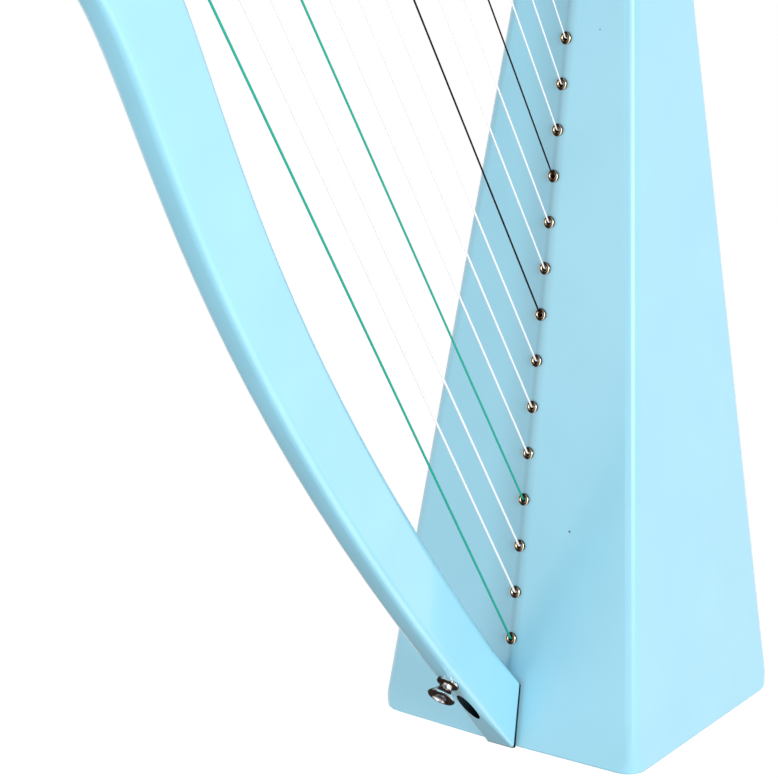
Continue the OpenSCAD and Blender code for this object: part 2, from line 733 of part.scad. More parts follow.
// How deep below the pin's surface the end lies, and how many degrees it still has to go
dip = [[-0.25, 8], [0.6, 0], [1.8, 0]];
function pitch(i) = 2 * string_r(i) + wind_gap;
function coil_r(i) = pin_d / 2 + wrap_gap + string_r(i);
function coil_y(i, t) = string_y + pitch(i) * (1 + t)
    + hole_climb * max(0, (t - wind_turns + 0.5) / 0.5);
function polar(r, a, z) = [r * cos(a), r * sin(a), z];
function end_angle(i) = tail_lean(i) + 360 * wind_turns + hole_turn;
function coil_path(i) = let (y1 = coil_y(i, wind_turns), n = round(wind_turns * coil_rings))
    concat([for (k = [0 : n]) let (t = wind_turns * k / n)
        polar(coil_r(i), tail_lean(i) + 360 * t, coil_y(i, t))],
        [for (e = dip) polar(pin_d / 2 - e[0], end_angle(i) - e[1], y1)]);
// Least gap between parts of a winding that lie more than half a turn apart
function coil_gap(i) = let (p = coil_path(i), n = len(p), h = coil_rings / 2)
    min([for (a = [0 : n - 1]) for (b = [a + h : n - 1]) if (b < n) norm(p[a] - p[b])]) - 2 * string_r(i);
echo(least_winding_gap = min([for (i = [0 : last]) coil_gap(i)]));
// A tube for paths that circle the local Z axis
module coil(path, r, sides) {
    n = len(path);
    loft([for (i = [0 : n - 1])
        let (v = path[min(i + 1, n - 1)] - path[max(i - 1, 0)], d = v / norm(v),
            e = cross([0, 0, 1], d), e1 = e / norm(e), e2 = cross(d, e1))
        [for (k = [0 : sides - 1])
            path[i] + r * (e1 * cos(k * 360 / sides) + e2 * sin(k * 360 / sides))]]);
}
function string_colour(i) =
    has(green_strings, i) ? "#1f9e78" : has(red_strings, i) ? "#5a1620" : "#eef2f4";
module winding(i) {
    color(string_colour(i)) at_neck(pin_at(i)) coil(coil_path(i), string_r(i), coil_sides);
}
drive_out = 1.5;
pin_chamfer = 0.8;
module tuning_pin(i) {
    r = pin_d / 2;
    tip = neck_t / 2 + pin_out;
    drive = neck_t / 2 + drive_out;
    color("#c9ccd1") at_neck(pin_at(i)) difference() {
        union() {
            translate([0, 0, -drive]) cylinder(r = r, h = drive + tip - pin_chamfer);
            translate([0, 0, tip - pin_chamfer]) cylinder(r1 = r, r2 = r - pin_chamfer, h = pin_chamfer);
            translate([0, 0, -drive - pin_square_l]) intersection() {
                translate([-pin_square / 2, -pin_square / 2, 0])
                    cube([pin_square, pin_square, pin_square_l + cut]);
                cylinder(r = r - wrap_gap, h = pin_square_l + cut);
            }
        }
        translate([0, 0, coil_y(i, wind_turns)]) rotate([0, 0, end_angle(i)]) rotate([0, 90, 0])
            cylinder(r = cross_hole_r, h = 2 * pin_d, center = true);
    }
}

// Strap buttons: a turned spool with a wide dished head, and a screw through each
rear_button_z = box_h - rear_button_drop;
rear_button_foot = [back_x(rear_button_z), rear_button_z];
foot_share = 0.8;
waist_share = 0.46;
flange_h = 1.2;
rim_w = 0.9;
module button() {
    r = button_d / 2;
    h = button_h;
    foot = r * foot_share;
    waist = r * waist_share;
    bevel = rim_w / 2;
    rotate_extrude() difference() {
        polygon([[0, 0], [foot, 0], [foot, flange_h - bevel], [foot - bevel, flange_h],
            [waist + bevel, 2 * flange_h - rim_w], [waist, 2 * flange_h], [waist, h * 0.4],
            [mix(waist, r, 0.5), h * 0.64], [r - bevel, h * 0.8], [r, h - rim_w], [r, h - bevel],
            [r - bevel, h], [0, h]]);
        square([screw_r + screw_fit, h]);
        polygon([[0, button_seat], [screw_head_r, button_seat], [screw_head_r, h - 2 * rim_w],
            [r - 2 * rim_w, h - rim_w], [r - rim_w, h + cut], [0, h + cut]]);
    }
}
module strap_button_front() {
    color("#d4d6da") facing(button_foot, button_out) translate([0, 0, wrap_gap]) button();
}
module strap_button_rear() {
    color("#d4d6da") facing(rear_button_foot, back_out) translate([0, 0, wrap_gap]) button();
}
module rear_screw_bore() {
    facing(rear_button_foot, -back_out) translate([0, 0, -cut])
        cylinder(r = screw_r + screw_fit, h = rear_screw_l + cut);
}
module strap_screws() {
    head_r = screw_head_r - rest_gap;
    color("silver") {
        facing(button_foot + button_out * (button_seat + wrap_gap), -button_out)
            pan_screw(head_r, button_seat + button_screw_l - rest_gap);
        facing(rear_button_foot + back_out * (button_seat + wrap_gap), -back_out)
            pan_screw(head_r, button_seat + rear_screw_l - rest_gap);
    }
}

bottom_panel();
soundboard();
side_panel(-1);  // side_panel_left
side_panel(1);  // side_panel_right
back_panel();
top_cap();
bottom_block();
top_block();
string_rib();
board_linings();
back_linings();
back_braces();
pillar();
pillar_screw();
head_dowels();
neck();
neck_screws();
eyelets();
bridge_pins();
strings_clear();
strings_green();
strings_red();
strap_button_front();
strap_button_rear();
strap_screws();
for (i = [0 : last]) {
    tuning_pin(i);
    winding(i);
}
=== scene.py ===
import bpy, bmesh, math
import numpy as np
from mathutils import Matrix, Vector


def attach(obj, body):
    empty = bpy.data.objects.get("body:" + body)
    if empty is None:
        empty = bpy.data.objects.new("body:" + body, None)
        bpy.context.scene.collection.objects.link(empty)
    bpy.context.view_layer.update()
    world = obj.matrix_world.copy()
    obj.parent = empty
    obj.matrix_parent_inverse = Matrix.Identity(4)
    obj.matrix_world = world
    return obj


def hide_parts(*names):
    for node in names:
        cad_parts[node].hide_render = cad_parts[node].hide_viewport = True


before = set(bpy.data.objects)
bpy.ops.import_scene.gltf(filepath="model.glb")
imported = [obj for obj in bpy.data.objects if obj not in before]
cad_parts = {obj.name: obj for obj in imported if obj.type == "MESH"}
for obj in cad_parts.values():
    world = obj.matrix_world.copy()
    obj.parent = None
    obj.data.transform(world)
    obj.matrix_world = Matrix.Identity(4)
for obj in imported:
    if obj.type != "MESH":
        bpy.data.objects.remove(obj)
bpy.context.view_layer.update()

mm = 0.001

# layout shared by the strings, pins and planks, in mm, the same values as the solids
harp = {"baseD": 119.5, "baseW": 128.0, "boxH": 378.0, "boardLean": 7.84, "taper": 0.112,
        "ridge": 1.6, "boardT": 3.5, "ribT": 5.0, "neckT": 15.0}
stringSet = {"count": 15, "first": 46.3, "drop": 64.6, "shrink": 0.13, "longest": 425.0,
             "shortest": 140.0, "leanLow": 34.6, "leanHigh": 36.0, "bow": 0.35, "dLow": 1.1,
             "dHigh": 0.65, "rimD": 5.6, "boreD": 2.2, "rimSink": 0.45, "bendSink": 0.5,
             "knotD": 4.4, "neckGap": 3.5, "green": (0, 3, 14), "red": (7, 10)}
pinSet = {"d": 4.8, "restGap": 0.3, "wrapGap": 0.05, "tail": 27.0, "bend": 10.0, "bridgeD": 2.6,
          "turns": 2.5, "windGap": 0.5}

idx = np.arange(stringSet["count"])
last = stringSet["count"] - 1
share = idx / last
rad = math.radians


def boardX(z):
    return -harp["baseD"] / 2 + z * math.tan(rad(harp["boardLean"]))


def halfW(z):
    return harp["baseW"] / 2 - z * harp["taper"]


# direction in the X-Z plane leaning a degrees from upright to the pillar, and its left
def along(a):
    a = np.radians(a)
    return np.stack([-np.sin(a), np.cos(a)], -1)


def leftOf(a):
    a = np.radians(a)
    return np.stack([-np.cos(a), -np.sin(a)], -1)


boardUp = np.array([math.sin(rad(harp["boardLean"])), math.cos(rad(harp["boardLean"]))])
boardOut = np.array([-boardUp[1], boardUp[0]])
stringY = harp["neckT"] / 2 + stringSet["neckGap"]
stringR = (stringSet["dLow"] + (stringSet["dHigh"] - stringSet["dLow"]) * share) / 2
lean = (stringSet["leanLow"] + (stringSet["leanHigh"] - stringSet["leanLow"]) * share
        + 4 * stringSet["bow"] * share * (1 - share))
length = stringSet["longest"] * (stringSet["shortest"] / stringSet["longest"]) ** share
rimR = (stringSet["rimD"] - stringSet["boreD"]) / 4
rimH = 2 * rimR - stringSet["rimSink"]
# eyelets up the board: even steps, each a little shorter than the last, ending below the box's top
topS = (harp["boxH"] - stringSet["drop"]) / boardUp[1]
pitch = (topS - stringSet["first"] + last ** 2 * stringSet["shrink"] / 2) / last
eyeS = stringSet["first"] + idx * pitch - idx ** 2 * stringSet["shrink"] / 2
eyeZ = eyeS * boardUp[1]
eyeBase = np.stack([boardX(eyeZ) - harp["ridge"] * halfW(eyeZ) / halfW(0), eyeZ], -1)
eye = eyeBase + boardOut * (rimH - stringSet["bendSink"])
# each string runs to its bridge pin, bends round it and runs on to its tuning pin
run = np.sqrt(length ** 2 - stringY ** 2)
touch = eye + along(lean) * run[:, None]
reach = (pinSet["bridgeD"] / 2 + pinSet["wrapGap"] + stringR)[:, None]
bridge = touch + leftOf(lean) * reach
tailLean = lean + pinSet["bend"]
leave = bridge - leftOf(tailLean) * reach
arrive = leave + along(tailLean) * pinSet["tail"]
pinAt = arrive + leftOf(tailLean) * (pinSet["d"] / 2 + pinSet["restGap"] + stringR)[:, None]


# four-sided faces between rows of points, each row a closed ring
def gridFaces(rows, cols):
    r, c = np.meshgrid(np.arange(rows - 1) * cols, np.arange(cols), indexing="ij")
    n = (c + 1) % cols
    return np.stack([r + c, r + n, r + cols + n, r + cols + c], -1).reshape(-1, 4)


weldDistance = 1e-6
sharpAngle = 38


# turned and bent pieces are smooth all over
def addMesh(name, parts, material, body):
    verts, faces, start = [], [], 0
    for v, f in parts:
        verts.append(v)
        faces += [[k + start for k in face] for face in f]
        start += len(v)
    data = bpy.data.meshes.new(name)
    data.from_pydata((np.concatenate(verts) * mm).tolist(), [], faces)
    data.materials.append(material)
    piece = bpy.data.objects.new(name, data)
    bpy.context.collection.objects.link(piece)
    tidyNormals(data)
    data.shade_smooth()
    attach(piece, body)
    return piece


# doubled points joined, faces turned outward, edges sharper than the limit kept sharp
def tidyNormals(data):
    b = bmesh.new()
    b.from_mesh(data)
    bmesh.ops.remove_doubles(b, verts=b.verts, dist=weldDistance)
    bmesh.ops.recalc_face_normals(b, faces=b.faces)
    for e in b.edges:
        e.smooth = len(e.link_faces) == 2 and e.calc_face_angle(0) < rad(sharpAngle)
    for f in b.faces:
        f.smooth = True
    b.to_mesh(data)
    b.free()


# closed body through equal rings of points, with a flat cap on both ends
def ringBody(rings):
    rings = np.asarray(rings)
    n, m = rings.shape[:2]
    faces = gridFaces(n, m).tolist()
    faces.append(list(range(m))[::-1])
    faces.append([(n - 1) * m + k for k in range(m)])
    return rings.reshape(-1, 3), faces


# round tube: each ring stands square to the path, its zero angle towards the path crossed with Y
def tube(path, radii, sides=14):
    path = np.asarray(path, float)
    radii = np.broadcast_to(radii, len(path))
    d = np.gradient(path, axis=0)
    d /= np.linalg.norm(d, axis=1)[:, None]
    e1 = np.cross([0.0, 1.0, 0.0], d)
    e1 /= np.linalg.norm(e1, axis=1)[:, None]
    e2 = np.cross(d, e1)
    a = np.linspace(0, 2 * math.pi, sides, endpoint=False)
    ring = e1[:, None] * np.cos(a)[None, :, None] + e2[:, None] * np.sin(a)[None, :, None]
    return ringBody(path[:, None] + radii[:, None, None] * ring)


# turned piece: profile of (radius, height) round local Z, closed where it meets itself
def turned(profile, sides=40, closed=False):
    p = np.asarray(profile, float)
    if closed:
        p = np.vstack([p, p[:1]])
    a = np.linspace(0, 2 * math.pi, sides, endpoint=False)
    v = np.stack([p[:, :1] * np.cos(a), p[:, :1] * np.sin(a), np.repeat(p[:, 1:], sides, 1)], -1)
    if closed:
        return v.reshape(-1, 3), gridFaces(len(p), sides).tolist()
    return ringBody(v)


# local Z turned into the X-Z direction v, foot at p
def facing(part, p, v):
    verts, faces = part
    x = np.array([v[1], 0, -v[0]])
    y = np.array([0, 1.0, 0])
    z = np.array([v[0], 0, v[1]])
    w = verts[:, :1] * x + verts[:, 1:2] * y + verts[:, 2:] * z + np.array([p[0], 0, p[1]])
    return w, faces


# local Z towards the string side, -Y
def atNeck(part, p):
    verts, faces = part
    w = np.stack([verts[:, 0] + p[0], -verts[:, 2], verts[:, 1] + p[1]], -1)
    return w, faces


def arc(cx, cz, r, a0, a1, n):
    a = np.radians(np.linspace(a0, a1, n))
    return np.stack([cx + r * np.cos(a), cz + r * np.sin(a)], -1)


def newMaterial(name):
    m = bpy.data.materials.new(name)
    m.use_nodes = True
    t = m.node_tree
    return m, t, t.nodes["Principled BSDF"]


# new node: each input is a number or another node's output, the rest are its settings
def put(t, kind, at, inputs=(), **settings):
    n = t.nodes.new(kind)
    n.location = at
    for key, value in settings.items():
        setattr(n, key, value)
    for key, value in dict(inputs).items():
        if isinstance(value, bpy.types.NodeSocket):
            t.links.new(value, n.inputs[key])
        else:
            n.inputs[key].default_value = value
    return n


def mathNode(t, at, operation, *values):
    return put(t, "ShaderNodeMath", at, enumerate(values), operation=operation).outputs[0]


def vectorNode(t, at, operation, *values):
    n = put(t, "ShaderNodeVectorMath", at, enumerate(values), operation=operation)
    isNumber = operation in ("DOT_PRODUCT", "DISTANCE", "LENGTH")
    return n.outputs["Value" if isNumber else "Vector"]


def rangeNode(t, at, value, low, high, start=0.0, end=1.0, curve="LINEAR"):
    inputs = {"Value": value, "From Min": low, "From Max": high, "To Min": start, "To Max": end}
    return put(t, "ShaderNodeMapRange", at, inputs, interpolation_type=curve).outputs["Result"]


def objectPoint(t, at):
    return put(t, "ShaderNodeTexCoord", at).outputs["Object"]


def surfaceNormal(t, at):
    return put(t, "ShaderNodeNewGeometry", at).outputs["Normal"]


# shared effect: fine waviness of a sprayed or rolled skin, as a bump
def skinGroup():
    g = bpy.data.node_groups.new("fineSkin", "ShaderNodeTree")
    for name, value in (("Coarse", 60.0), ("Fine", 900.0), ("Depth", 0.00002)):
        socket = g.interface.new_socket(name=name, in_out="INPUT", socket_type="NodeSocketFloat")
        socket.default_value = value
    for name, kind in (("Normal", "NodeSocketVector"), ("Wave", "NodeSocketFloat")):
        g.interface.new_socket(name=name, in_out="OUTPUT", socket_type=kind)
    given = put(g, "NodeGroupInput", (-900, 0)).outputs
    point = objectPoint(g, (-900, -250))
    coarse = put(g, "ShaderNodeTexNoise", (-600, 150),
                 {"Vector": point, "Scale": given["Coarse"], "Detail": 2.0, "Roughness": 0.5})
    fine = put(g, "ShaderNodeTexNoise", (-600, -150),
               {"Vector": point, "Scale": given["Fine"], "Detail": 3.0, "Roughness": 0.6})
    fineShare = 0.15
    height = mathNode(g, (-300, 0), "MULTIPLY_ADD",
                      fine.outputs["Fac"], fineShare, coarse.outputs["Fac"])
    bump = put(g, "ShaderNodeBump", (0, 0),
               {"Strength": 1.0, "Height": height, "Distance": given["Depth"]})
    put(g, "NodeGroupOutput", (300, 0), {"Normal": bump.outputs[0], "Wave": coarse.outputs["Fac"]})
    return g


skin = skinGroup()


def useSkin(t, p, coarse, fine, depth):
    n = put(t, "ShaderNodeGroup", (-500, -300), {"Coarse": coarse, "Fine": fine, "Depth": depth},
            node_tree=skin)
    t.links.new(n.outputs["Normal"], p.inputs["Normal"])
    return n.outputs["Wave"]


# base colour between two tones
def mixTones(t, p, amount, dark, light):
    m = put(t, "ShaderNodeMix", (-150, 200), data_type="RGBA")
    m.inputs[6].default_value = (*dark, 1)
    m.inputs[7].default_value = (*light, 1)
    t.links.new(amount, m.inputs[0])
    t.links.new(m.outputs[2], p.inputs["Base Color"])
    return m.outputs[2]


def twoTone(t, p, value, dark, light, low=0.3, high=0.7):
    return mixTones(t, p, rangeNode(t, (-300, 200), value, low, high), dark, light)


def darken(t, p, tone, shade):
    m = put(t, "ShaderNodeMix", (0, 400), data_type="RGBA", blend_type="MULTIPLY")
    m.inputs[0].default_value = 1.0
    t.links.new(tone, m.inputs[6])
    t.links.new(shade, m.inputs[7])
    t.links.new(m.outputs[2], p.inputs["Base Color"])


# pits are (y, z, radius) on the board; line and creaseShade are how much light is left there,
# creaseShade being painted shade beside the crease
boardLook = {"line": 0.84, "lineHalf": (0.2, 1.6), "creaseShade": 0.8, "farReach": 20.0, "nearReach": 5.0,
             "pits": ((-22.7, 96.0, 0.62), (-15.0, 300.0, 0.4)), "pitTone": 0.15, "pitCore": 0.6}


# the soundboard's crease: a thin line where y is near 0, in a band of painted shade that reaches
# further to
# +Y than to -Y, and a few tiny pits
def creaseAndPits(t, p, tone):
    look = boardLook
    point = objectPoint(t, (-900, 500))
    side = put(t, "ShaderNodeSeparateXYZ", (-700, 500), {0: point}).outputs["Y"]
    away = mathNode(t, (-520, 500), "ABSOLUTE", side)
    inner, outer = look["lineHalf"]
    line = rangeNode(t, (-340, 500), away, inner * mm, outer * mm, look["line"])
    # painted shade beside the crease, darkest at y = 0
    far = rangeNode(t, (-340, 300), side, 0, look["farReach"] * mm, look["creaseShade"], 1.0, "SMOOTHSTEP")
    near = rangeNode(t, (-340, 100), side, -look["nearReach"] * mm, 0, 1.0, look["creaseShade"], "SMOOTHSTEP")
    creaseShade = mathNode(t, (-160, 200), "MAXIMUM", far, near)
    shade = mathNode(t, (-160, 400), "MULTIPLY", line, creaseShade)
    for y, z, size in look["pits"]:
        lift = harp["ridge"] * (halfW(z) - abs(y)) / halfW(0)
        middle = ((boardX(z) - lift) * mm, y * mm, z * mm)
        gap = vectorNode(t, (-520, 750), "DISTANCE", point, middle)
        pit = rangeNode(t, (-340, 750), gap, size * look["pitCore"] * mm, size * mm, look["pitTone"])
        shade = mathNode(t, (-160, 600), "MULTIPLY", shade, pit)
    darken(t, p, tone, shade)


footLook = {"mouth": (-87.85, 26.30), "slope": 30.0, "pocketD": 6.2, "pocketShadeTone": 0.03,
            "pocketSoft": (0.02, 0.1), "line": 1.9, "jointShadowTone": 0.02, "lineSoft": 0.2}


# the pillar's two painted shades: a painted shadow along its joint with the soundboard and painted
# shade in the deep screw pocket
def jointAndPocketShade(t, p, tone):
    look = footLook
    point = objectPoint(t, (-1100, 600))
    # distance in front of the board's ridge, from x = start + rise * z
    rise = math.tan(rad(harp["boardLean"])) + harp["ridge"] * harp["taper"] * 2 / harp["baseW"]
    start = -harp["baseD"] / 2 - harp["ridge"]
    ahead = vectorNode(t, (-900, 700), "DOT_PRODUCT", point, (1, 0, -rise))
    # painted shadow in the joint: dark in a thin strip just in front of the board's ridge
    jointShadow = rangeNode(t, (-700, 700), ahead, (start - look["line"] - look["lineSoft"]) * mm,
                      (start - look["line"]) * mm, 1.0, look["jointShadowTone"])
    # distance from the pocket's middle line
    mouthX, mouthZ = look["mouth"]
    fromMouth = vectorNode(t, (-900, 500), "SUBTRACT", point, (mouthX * mm, 0, mouthZ * mm))
    axis = (math.cos(rad(look["slope"])), 0, -math.sin(rad(look["slope"])))
    across = vectorNode(t, (-740, 500), "CROSS_PRODUCT", fromMouth, axis)
    away = vectorNode(t, (-580, 500), "LENGTH", across)
    low, high = ((look["pocketD"] / 2 + soft) * mm for soft in look["pocketSoft"])
    # painted shade: dark inside the pocket's bore
    pocketShade = rangeNode(t, (-420, 500), away, low, high, look["pocketShadeTone"])
    shade = mathNode(t, (-240, 600), "MULTIPLY", jointShadow, pocketShade)
    darken(t, p, tone, shade)
    # no gloss where the shade is painted dark
    for socket in ("Coat Weight", "Specular IOR Level"):
        gloss = mathNode(t, (0, 150), "MULTIPLY", shade, p.inputs[socket].default_value)
        t.links.new(gloss, p.inputs[socket])


lacquerLook = {"dark": (0.342, 0.735, 0.91), "light": (0.360, 0.765, 0.945), "rough": 0.2,
               "coat": 0.8, "wave": 0.000012}


def lacquerMaterial(name, detail=None, coatRough=0.06):
    look = lacquerLook
    m, t, p = newMaterial(name)
    wave = useSkin(t, p, 28.0, 420.0, look["wave"])
    tone = twoTone(t, p, wave, look["dark"], look["light"])
    p.inputs["Roughness"].default_value = look["rough"]
    p.inputs["Coat Weight"].default_value = look["coat"]
    p.inputs["Coat Roughness"].default_value = coatRough
    p.inputs["Specular IOR Level"].default_value = 0.5
    if detail:
        detail(t, p, tone)
    return m


# grain drawn out along Z
def woodMaterial(name, dark, light, rings, stretch=0.06):
    m, t, p = newMaterial(name)
    grain = put(t, "ShaderNodeMapping", (-950, 0),
                {"Vector": objectPoint(t, (-1100, 0)), "Scale": (rings, rings, rings * stretch)})
    noise = put(t, "ShaderNodeTexNoise", (-750, 0), {"Vector": grain.outputs["Vector"], "Scale": 3.0,
                                                     "Detail": 6.0, "Distortion": 0.7})
    twoTone(t, p, noise.outputs["Fac"], dark, light, 0.35, 0.65)
    useSkin(t, p, 300.0, 2600.0, 0.00006)
    p.inputs["Roughness"].default_value = 0.6
    return m


# rolled rim: painted glints, gold where it turns to either side, and a painted dark reflection along
# the top, the bottom and the outer edge
def rimGlintPaint(t):
    normal = surfaceNormal(t, (-1100, 350))
    side = put(t, "ShaderNodeSeparateXYZ", (-900, 350), {0: normal}).outputs["Y"]
    turn = mathNode(t, (-750, 350), "ABSOLUTE", side)
    begin = rangeNode(t, (-600, 450), turn, 0.2, 0.42)
    end = rangeNode(t, (-600, 250), turn, 0.72, 0.92, 1.0, 0.0)
    window = mathNode(t, (-440, 420), "MULTIPLY", begin, end)
    # walls of the bore and the rim's outer foot face sideways and get painted shade
    out = vectorNode(t, (-750, 100), "DOT_PRODUCT", normal, (boardOut[0], 0, boardOut[1]))
    return mathNode(t, (-300, 300), "MULTIPLY", window, rangeNode(t, (-600, 50), out, 0.34, 0.6))


# the strap buttons: a painted highlight, white where they turn up towards the lamp, dark elsewhere
def buttonHighlightPaint(t):
    toLamp = (-0.25, -0.62, 0.74)
    out = vectorNode(t, (-700, 350), "DOT_PRODUCT", surfaceNormal(t, (-900, 350)), toLamp)
    return rangeNode(t, (-500, 350), out, 0.5, 0.72)


# with a painted reflection map, a place that would show only the dark room is painted as a dark surface
# that shines little; without one the two tones follow the skin
def metalMaterial(name, dark, light, rough, wave, paintedReflection=None):
    m, t, p = newMaterial(name)
    ripple = useSkin(t, p, 700.0, 5200.0, wave)
    p.inputs["Roughness"].default_value = rough
    p.inputs["Metallic"].default_value = 1.0
    if paintedReflection:
        amount = paintedReflection(t)
        mixTones(t, p, amount, dark, light)
        t.links.new(amount, p.inputs["Metallic"])
        p.inputs["IOR"].default_value = 1.08
    else:
        twoTone(t, p, ripple, dark, light)
    return m


# a string's rims have another tone than its middle, as light passes round inside it
def nylonMaterial(name, rim, core, shine, glow=0.0):
    m, t, p = newMaterial(name)
    useSkin(t, p, 500.0, 3000.0, 0.000004)
    facing = put(t, "ShaderNodeLayerWeight", (-700, 350), {"Blend": 0.4}).outputs["Facing"]
    twoTone(t, p, facing, core, rim, 0.12, 0.62)
    p.inputs["Roughness"].default_value = 0.3
    p.inputs["IOR"].default_value = 1.53
    p.inputs["Specular IOR Level"].default_value = shine
    # emission is painted light: the strings are no lamp, and the glow only lifts their tone
    p.inputs["Emission Color"].default_value = (0.95, 0.93, 1.0, 1)
    p.inputs["Emission Strength"].default_value = glow
    return m


lacquer = lacquerMaterial("sky lacquer")
boardLacquer = lacquerMaterial("soundboard lacquer", creaseAndPits, 0.34)
pillarLacquer = lacquerMaterial("pillar lacquer", jointAndPocketShade)
paleWood = woodMaterial("spruce strip", (0.46, 0.30, 0.15), (0.66, 0.47, 0.27), 120.0)
blockWood = woodMaterial("block wood", (0.26, 0.13, 0.06), (0.42, 0.24, 0.12), 90.0)
brass = metalMaterial("eyelet brass", (0.03, 0.015, 0.008), (1.0, 0.86, 0.62), 0.24, 0.00001, rimGlintPaint)
chrome = metalMaterial("button chrome", (0.03, 0.018, 0.014), (1.0, 0.98, 0.97), 0.07, 0.000004,
                       buttonHighlightPaint)
steel = metalMaterial("screw steel", (0.45, 0.46, 0.48), (0.60, 0.61, 0.63), 0.3, 0.00001)
pinSteel = metalMaterial("nickel pins", (0.58, 0.58, 0.60), (0.70, 0.70, 0.72), 0.2, 0.000008)
nylon = nylonMaterial("clear nylon", (0.62, 0.63, 0.64), (1.0, 1.0, 1.0), 0.4, 0.14)
greenNylon = nylonMaterial("green nylon", (0.006, 0.3, 0.21), (0.006, 0.47, 0.34), 0.16)
redNylon = nylonMaterial("wine nylon", (0.022, 0.003, 0.006), (0.012, 0.001, 0.003), 0.06)
print("materials made")


# soundbox, frame and strap buttons: the solids' own shapes with smooth rounded edges and new surfaces
def dress(node, material):
    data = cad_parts[node].data.copy()
    data.name = node + "_dressed"
    data.materials.clear()
    data.materials.append(material)
    if "custom_normal" in data.attributes:
        data.attributes.remove(data.attributes["custom_normal"])
    tidyNormals(data)
    data.polygons.foreach_set("material_index", np.zeros(len(data.polygons), dtype=np.int32))
    piece = bpy.data.objects.new(node + "_dressed", data)
    bpy.context.collection.objects.link(piece)
    # large flat faces keep their own shading next to small rounded ones
    flat = piece.modifiers.new("flat faces", "WEIGHTED_NORMAL")
    flat.keep_sharp = True
    flat.weight = 100
    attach(piece, "harp")
    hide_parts(node)


for nodes, material, slotName in (
        (("side_panel_left", "side_panel_right", "back_panel", "top_cap"), lacquer, "lacquer"),
        (("soundboard", "bottom_panel"), boardLacquer, "lacquer"),
        (("string_rib", "board_linings", "back_linings", "back_braces", "head_dowels"),
         paleWood, "pale_wood"),
        (("bottom_block", "top_block"), blockWood, "block_wood"),
        (("neck_screws", "pillar_screw", "strap_screws"), steel, "screw_steel"),
        (("neck",), lacquer, "lacquer"),
        (("pillar",), pillarLacquer, "lacquer")):
    for node in nodes:
        dress(node, material)
print("soundbox and frame dressed")

# eyelets: rolled rim on the board, straight bore through board and ridge
eyeletLook = {"roll": 0.88, "sink": 0.6, "underEdge": -28, "wall": 0.7}


def eyeletPart():
    s, look = stringSet, eyeletLook
    boreR, wallR = s["boreD"] / 2, s["boreD"] / 2 + look["wall"]
    roll = rimR * look["roll"]
    rim = arc(boreR + roll, roll - s["rimSink"] * look["sink"], roll, look["underEdge"], 180, 22)
    depth = harp["boardT"] + harp["ridge"]
    profile = [*rim.tolist(), [boreR, -depth], [wallR, -depth], [wallR, 0.0], [rim[0][0], 0.0]]
    return turned(profile, 36, closed=True)


rims = addMesh("eyelet_rims", [facing(eyeletPart(), p, boardOut) for p in eyeBase], brass, "harp")
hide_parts("eyelets")

# bridge pins: shank, collar, groove for the string and a domed head
bridgeLook = {"shank": 1.5, "collar": 2.0, "groove": 1.3, "grooveRise": 0.7, "grooveHalf": 1.4,
              "grooveTurn": 1.35, "lip": 1.5, "depth": 8.5, "headTop": 2.6, "middle": 0.02,
              "dome": ((0.0, 0.7), (0.2, 0.35), (0.6, 0.1), (1.1, 0.0))}


def bridgePart():
    b, face, y = bridgeLook, harp["neckT"] / 2, stringY
    foot, top, collar = face - b["depth"], y + b["headTop"], b["collar"]
    groove = [[b["groove"] + b["grooveRise"] * (1 - math.cos(a)), y + b["grooveHalf"] * math.sin(a)]
              for a in np.linspace(-b["grooveTurn"], b["grooveTurn"], 11)]
    dome = [[collar - inset, top - below] for inset, below in b["dome"]]
    profile = [[b["middle"], foot], [b["shank"], foot], [b["shank"], face], [collar, face],
               [collar, y - b["lip"]], *groove, [collar, y + b["lip"]], *dome, [b["middle"], top]]
    return turned(profile, 32)


pegs = addMesh("bridge_pins_turned", [atNeck(bridgePart(), p) for p in bridge], brass, "harp")
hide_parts("bridge_pins")
print("eyelets and bridge pins made")


def place(p, y):
    return np.array([p[0], y, p[1]])


# taut nylon is drawn a little thinner than its nominal gauge
stringLook = {"drawn": 0.86, "tail": 2.0, "knotGap": 0.15, "ribGlue": 0.1, "bendFrom": 1.6,
              "bendReach": 0.9, "ballSteps": 17, "ballShare": 0.97, "neckShare": 1.02, "bendSteps": 9}


# tail and ball knot behind the rib, through the eyelet, over the bridge pin and on to the tuning pin
def stringPart(i):
    look, r = stringLook, stringR[i] * stringLook["drawn"]
    knotR = stringSet["knotD"] / 2
    depth = harp["ridge"] + harp["boardT"] + look["ribGlue"] + harp["ribT"] + knotR + look["knotGap"]

    def inBoard(d):
        return place(eyeBase[i] - boardOut * d, 0)

    ball = np.linspace(-look["ballShare"], look["ballShare"], look["ballSteps"])
    path = [inBoard(depth + knotR + look["tail"]), inBoard(depth + knotR * look["neckShare"]),
            *(inBoard(depth - k * knotR) for k in ball),
            inBoard(depth - knotR * look["neckShare"]), inBoard(look["bendFrom"])]
    size = [r, r, *(max(r, knotR * math.sqrt(1 - k * k)) for k in ball), r, r]
    # bend over the eyelet's edge, then the straight run
    a, b = place(eye[i], 0), place(touch[i], -stringY)
    before = a + place(-boardOut, 0) * look["bendReach"]
    after = a + (b - a) / np.linalg.norm(b - a) * look["bendReach"]
    for t in np.linspace(0, 1, look["bendSteps"]):
        path.append((1 - t) ** 2 * before + 2 * t * (1 - t) * a + t * t * after)
    path += [a + (b - a) * t for t in (0.03, 0.1, 0.3, 0.5, 0.7, 0.9, 0.97)]
    # round the bridge pin and on to the tuning pin
    for t in np.linspace(0, 1, look["bendSteps"]):
        path.append(place(bridge[i] - leftOf(lean[i] + pinSet["bend"] * t) * reach[i], -stringY))
    path += [place(leave[i] + (arrive[i] - leave[i]) * t, -stringY) for t in (0.2, 0.5, 0.8, 1.0)]
    return tube(path, np.array(size + [r] * (len(path) - len(size))))


